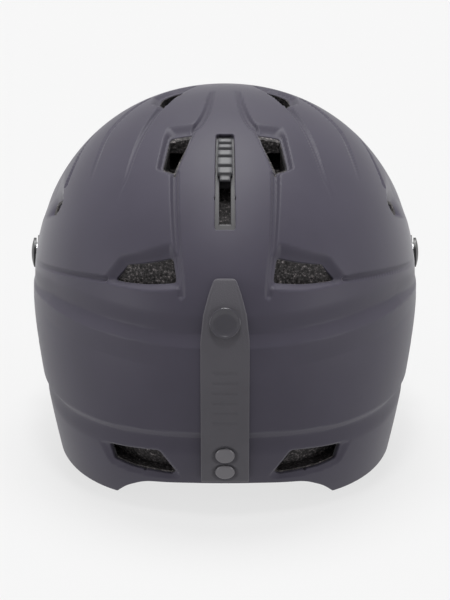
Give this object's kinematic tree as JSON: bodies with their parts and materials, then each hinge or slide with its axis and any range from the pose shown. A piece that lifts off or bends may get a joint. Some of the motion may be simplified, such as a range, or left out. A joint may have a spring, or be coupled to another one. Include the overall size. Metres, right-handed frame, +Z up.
{
  "type": "ski helmet",
  "caption": "Full-shell ski helmet with vents, a vent slider, a goggle strap, a swing-up visor, a foam liner, a fit dial and a chin strap.",
  "frame": {"origin": "on the floor under the middle of the helmet", "axes": "+Z up, front of the helmet towards -Y, +X to the wearer's left when worn facing -Y"},
  "size_m": [0.224, 0.2915, 0.2065],
  "materials": {
    "shell_plastic": "satin",
    "foam": "matte",
    "pad_fabric": "matte",
    "trim_plastic": "matte",
    "slider_plastic": "satin",
    "strap_rubber": "matte",
    "snap_plastic": "satin",
    "rivet_metal": "satin",
    "lens": "gloss",
    "seal_rubber": "matte",
    "cap_plastic": "satin",
    "steel": "satin",
    "webbing": "matte",
    "button_plastic": "satin"
  },
  "bodies": {
    "helmet": {"outer_shell": "shell_plastic", "foam_crown": "foam", "foam_front": "foam", "foam_rear": "foam", "foam_side_left": "foam", "foam_side_right": "foam", "crown_pad": "pad_fabric", "brow_pad": "pad_fabric", "rear_pad": "pad_fabric", "ear_pad_left": "pad_fabric", "ear_pad_right": "pad_fabric", "nape_pad": "pad_fabric", "fit_cradle": "trim_plastic", "dial_housing": "trim_plastic", "housing_screws": "steel", "slider_guide": "trim_plastic", "strap_base": "strap_rubber", "snap_stud": "snap_plastic", "strap_rivets": "rivet_metal", "pivot_cap_left": "cap_plastic", "pivot_cap_right": "cap_plastic", "pivot_screws": "steel", "pivot_nuts": "steel", "pivot_bushes": "trim_plastic", "strap_anchors": "trim_plastic"},
    "visor": {"visor_lens": "lens", "visor_seal": "seal_rubber", "visor_arm_left": "trim_plastic", "visor_arm_right": "trim_plastic"},
    "vent_slider": {"slider_knob": "slider_plastic", "vent_shutter": "trim_plastic"},
    "goggle_strap": {"strap_flap": "strap_rubber", "snap_cap": "snap_plastic"},
    "fit_dial": {"fit_dial": "trim_plastic", "dial_pinion": "trim_plastic"},
    "fit_band_left": {"fit_band_left": "trim_plastic"},
    "fit_band_right": {"fit_band_right": "trim_plastic"},
    "chin_strap": {"chin_strap_left": "webbing", "chin_strap_right": "webbing", "strap_adjuster_left": "trim_plastic", "strap_adjuster_right": "trim_plastic", "chin_pad": "pad_fabric", "buckle_socket": "trim_plastic", "buckle_plug": "trim_plastic"},
    "buckle_button": {"buckle_button": "button_plastic"}
  },
  "joints": [
    {"name": "visor_tilt", "type": "hinge", "parent": "helmet", "child": "visor", "pos_m": [0, -0.03, 0.102], "axis": [-1, 0, 0], "range_deg": [0, 55]},
    {"name": "vent_slide", "type": "hinge", "parent": "helmet", "child": "vent_slider", "pos_m": [0, 0.0083, 0.0531], "axis": [-1, 0, 0], "range_deg": [0, 11]},
    {"name": "goggle_strap_lift", "type": "hinge", "parent": "helmet", "child": "goggle_strap", "pos_m": [0, 0.13905, 0.05071], "axis": [-1, 0, 0], "range_deg": [0, 100]},
    {"name": "fit_dial_turn", "type": "hinge", "parent": "helmet", "child": "fit_dial", "pos_m": [0, 0.105, 0.026], "axis": [0, 1, 0], "range_deg": [0, 69]},
    {"name": "fit_band_left_slide", "type": "slide", "parent": "helmet", "child": "fit_band_left", "axis": [1, 0, 0], "range_m": [0, 0.006]},
    {"name": "fit_band_right_slide", "type": "slide", "parent": "helmet", "child": "fit_band_right", "axis": [-1, 0, 0], "range_m": [0, 0.006]},
    {"name": "chin_strap_swing", "type": "hinge", "parent": "helmet", "child": "chin_strap", "pos_m": [0, -0.014, 0.08], "axis": [-1, 0, 0], "range_deg": [-20, 25]},
    {"name": "buckle_press", "type": "slide", "parent": "chin_strap", "child": "buckle_button", "axis": [0, 0, -1], "range_m": [0, 0.0014], "stiffness_N_per_m": 800}
  ],
  "couplings": [
    {"joint": "fit_dial_turn", "follows": "fit_band_left_slide", "rad_per_m": 200},
    {"joint": "fit_band_right_slide", "follows": "fit_band_left_slide", "ratio": 1}
  ]
}
